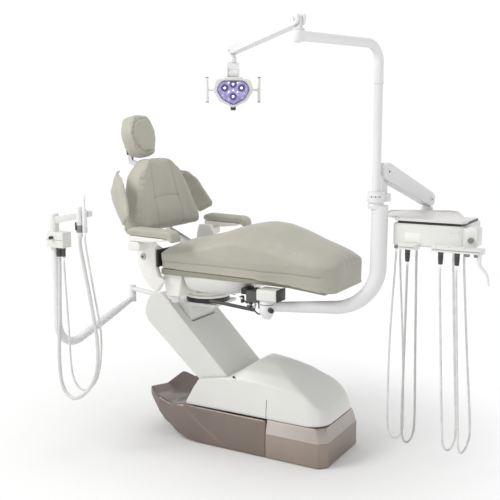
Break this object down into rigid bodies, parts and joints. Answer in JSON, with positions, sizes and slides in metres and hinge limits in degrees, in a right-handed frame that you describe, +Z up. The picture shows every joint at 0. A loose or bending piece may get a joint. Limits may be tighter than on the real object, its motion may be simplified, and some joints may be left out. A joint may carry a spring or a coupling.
{
  "type": "dental chair",
  "caption": "Dental patient chair on a lifting base, with swing-out armrests, overhead lamp, delivery head and suction arm.",
  "frame": {"origin": "on the floor under the base plate, on the chair centreline", "axes": "+Z up, +X towards the patient's feet, +Y towards the patient's left"},
  "size_m": [1.7493, 1.026, 1.8224],
  "materials": {
    "white_shell": "gloss",
    "taupe_skirt": "metallic paint",
    "cast_base": "painted",
    "steel": "satin",
    "alloy": "satin",
    "white_paint": "powder coat",
    "sage_vinyl": "soft vinyl over foam",
    "black_plastic": "matt",
    "grey_tray": "satin",
    "dark_relief": "matt",
    "hose_grey": "satin",
    "violet_lens": "clear gloss"
  },
  "bodies": {
    "base": {"base_plate": "cast_base", "skirt_front": "taupe_skirt", "skirt_rear": "taupe_skirt", "base_cover": "white_shell", "lift_stand": "cast_base", "lift_motor": "cast_base"},
    "lift_arm": {"lift_arm_link": "alloy", "lift_arm_cover": "white_shell"},
    "level_link_body": {"level_link": "steel"},
    "carriage": {"carriage_frame": "white_paint", "turntable_lower": "black_plastic"},
    "seat": {"seat_pedestal": "white_paint", "seat_frame": "alloy", "seat_pan": "white_shell", "seat_cushion": "sage_vinyl", "side_arm_right": "white_paint", "side_arm_left": "white_paint", "hub_block": "white_paint", "valve_block": "black_plastic"},
    "backrest": {"back_frame": "alloy", "back_shell": "white_shell", "back_cushion": "sage_vinyl", "wing_right": "sage_vinyl", "wing_left": "sage_vinyl"},
    "headrest_slider": {"headrest_bar": "steel"},
    "headrest": {"headrest_plate": "black_plastic", "headrest_cushion": "sage_vinyl"},
    "headrest_release": {"headrest_lever": "black_plastic"},
    "armrest_right": {"armrest_support_right": "white_shell", "armrest_pad_right": "sage_vinyl"},
    "armrest_left": {"armrest_support_left": "white_shell", "armrest_pad_left": "sage_vinyl"},
    "radius_arm": {"radius_arm_post": "white_paint"},
    "brake_knob_body": {"brake_knob": "black_plastic"},
    "upper_pole": {"light_pole": "white_paint"},
    "lamp_swivel": {"light_joint_upper": "white_paint"},
    "lamp_arm": {"light_arm": "white_paint"},
    "lamp_knuckle": {"light_knuckle": "white_paint"},
    "lamp_bracket": {"light_bracket": "white_paint"},
    "lamp": {"lamp_housing": "white_shell", "lamp_lens": "violet_lens"},
    "delivery_swivel": {"flex_sleeve": "white_paint"},
    "delivery_arm": {"flex_arm": "white_paint"},
    "delivery_knuckle": {"flex_knuckle": "white_paint"},
    "control_head": {"head_body": "white_shell", "instrument_tray": "grey_tray", "air_water_syringe": "white_paint", "tubing_a": "hose_grey", "tubing_b": "hose_grey", "tubing_c": "hose_grey", "tubing_e": "hose_grey"},
    "flow_knob_body": {"flow_knob": "dark_relief"},
    "aide_inner": {"aide_arm_inner": "white_paint"},
    "aide_outer": {"aide_post": "white_paint"},
    "aide_head": {"aide_holder": "white_shell", "hve_handle": "white_paint", "aide_syringe": "white_paint", "hve_hose": "hose_grey", "aide_tubing": "hose_grey"},
    "aide_lever_body": {"aide_lever": "black_plastic"}
  },
  "joints": [
    {"name": "lift", "type": "hinge", "parent": "base", "child": "lift_arm", "pos_m": [0.115, 0, 0.217], "axis": [0, -1, 0], "range_deg": [0, 30]},
    {"name": "level_link_hinge", "type": "hinge", "parent": "base", "child": "level_link_body", "pos_m": [0.0875, 0, 0.1694], "axis": [0, -1, 0], "range_deg": [0, 30]},
    {"name": "carriage_level", "type": "hinge", "parent": "lift_arm", "child": "carriage", "pos_m": [-0.24163, 0, 0.56746], "axis": [0, -1, 0], "range_deg": [-30, 0]},
    {"name": "seat_swivel", "type": "hinge", "parent": "carriage", "child": "seat", "pos_m": [-0.1, 0, 0.645], "axis": [0, 0, 1], "range_deg": [-30, 30]},
    {"name": "recline", "type": "hinge", "parent": "seat", "child": "backrest", "pos_m": [-0.275, 0, 0.848], "axis": [0, -1, 0], "range_deg": [-3, 60]},
    {"name": "headrest_height", "type": "slide", "parent": "backrest", "child": "headrest_slider", "axis": [-0.2079, 0, 0.9781], "range_m": [0, 0.07]},
    {"name": "headrest_tilt", "type": "hinge", "parent": "headrest_slider", "child": "headrest", "pos_m": [-0.54031, 0, 1.32213], "axis": [0, -1, 0], "range_deg": [-4, 35]},
    {"name": "headrest_release_hinge", "type": "hinge", "parent": "headrest", "child": "headrest_release", "pos_m": [-0.54031, 0.03, 1.32213], "axis": [0, 1, 0], "range_deg": [0, 20], "stiffness_Nm_per_rad": 0.4, "springref_deg": -2.86},
    {"name": "armrest_right_swing", "type": "hinge", "parent": "seat", "child": "armrest_right", "pos_m": [-0.268, -0.305, 0.925], "axis": [0, 0, -1], "range_deg": [0, 90]},
    {"name": "armrest_left_swing", "type": "hinge", "parent": "seat", "child": "armrest_left", "pos_m": [-0.268, 0.305, 0.925], "axis": [0, 0, 1], "range_deg": [0, 90]},
    {"name": "radius_arm_swivel", "type": "hinge", "parent": "seat", "child": "radius_arm", "pos_m": [0.336, -0.235, 0.7], "axis": [0, 0, 1], "range_deg": [-110, 8]},
    {"name": "brake_knob_turn", "type": "hinge", "parent": "radius_arm", "child": "brake_knob_body", "pos_m": [0.36659, -0.26077, 0.676], "axis": [0.7648, -0.6442, 0], "range_deg": [-90, 90]},
    {"name": "light_pole_swivel", "type": "hinge", "parent": "radius_arm", "child": "upper_pole", "pos_m": [0.721, -0.023, 1.588], "axis": [0, 0, 1], "range_deg": [-90, 90]},
    {"name": "lamp_arm_swivel", "type": "hinge", "parent": "upper_pole", "child": "lamp_swivel", "pos_m": [0.59, -0.478, 1.8], "axis": [0, 0, 1], "range_deg": [-50, 120]},
    {"name": "lamp_arm_lift", "type": "hinge", "parent": "lamp_swivel", "child": "lamp_arm", "pos_m": [0.59, -0.478, 1.8], "axis": [-0.634, -0.7733, 0], "range_deg": [-20, 12]},
    {"name": "lamp_level", "type": "hinge", "parent": "lamp_arm", "child": "lamp_knuckle", "pos_m": [0.068, -0.05, 1.742], "axis": [-0.634, -0.7733, 0], "range_deg": [-12, 20]},
    {"name": "lamp_turn", "type": "hinge", "parent": "lamp_knuckle", "child": "lamp_bracket", "pos_m": [0.068, -0.05, 1.69], "axis": [0, 0, 1], "range_deg": [-90, 90]},
    {"name": "lamp_tilt", "type": "hinge", "parent": "lamp_bracket", "child": "lamp", "pos_m": [0.068, -0.05, 1.646], "axis": [0.8607, 0.509, 0], "range_deg": [-30, 45]},
    {"name": "delivery_arm_swivel", "type": "hinge", "parent": "radius_arm", "child": "delivery_swivel", "pos_m": [0.721, -0.023, 1.15], "axis": [0, 0, 1], "range_deg": [-100, 45]},
    {"name": "delivery_arm_lift", "type": "hinge", "parent": "delivery_swivel", "child": "delivery_arm", "pos_m": [0.7314, 0.0361, 1.24], "axis": [-0.9812, 0.1931, 0], "range_deg": [-14, 8]},
    {"name": "delivery_level", "type": "hinge", "parent": "delivery_arm", "child": "delivery_knuckle", "pos_m": [0.803, 0.4, 1.1], "axis": [-0.9812, 0.1931, 0], "range_deg": [-8, 14]},
    {"name": "head_turn", "type": "hinge", "parent": "delivery_knuckle", "child": "control_head", "pos_m": [0.803, 0.4, 1.05], "axis": [0, 0, 1], "range_deg": [0, 70]},
    {"name": "flow_knob_turn", "type": "hinge", "parent": "control_head", "child": "flow_knob_body", "pos_m": [1.105, 0, 0.985], "axis": [0, -1, 0], "range_deg": [0, 270]},
    {"name": "aide_inner_swivel", "type": "hinge", "parent": "seat", "child": "aide_inner", "pos_m": [-0.185, -0.14, 0.655], "axis": [0, 0, 1], "range_deg": [-15, 20]},
    {"name": "aide_outer_swivel", "type": "hinge", "parent": "aide_inner", "child": "aide_outer", "pos_m": [-0.497, -0.05, 0.62], "axis": [0, 0, 1], "range_deg": [-60, 10]},
    {"name": "aide_holder_swivel", "type": "hinge", "parent": "aide_outer", "child": "aide_head", "pos_m": [-0.53, -0.54, 0.9], "axis": [0, 0, 1], "range_deg": [-60, 30]},
    {"name": "aide_valve_lever", "type": "hinge", "parent": "aide_head", "child": "aide_lever_body", "pos_m": [-0.518, -0.5703, 0.955], "axis": [0, -1, 0], "range_deg": [0, 90]}
  ],
  "couplings": [
    {"joint": "level_link_hinge", "follows": "lift", "ratio": 1},
    {"joint": "carriage_level", "follows": "lift", "ratio": -1},
    {"joint": "lamp_level", "follows": "lamp_arm_lift", "ratio": -1},
    {"joint": "delivery_level", "follows": "delivery_arm_lift", "ratio": -1}
  ]
}
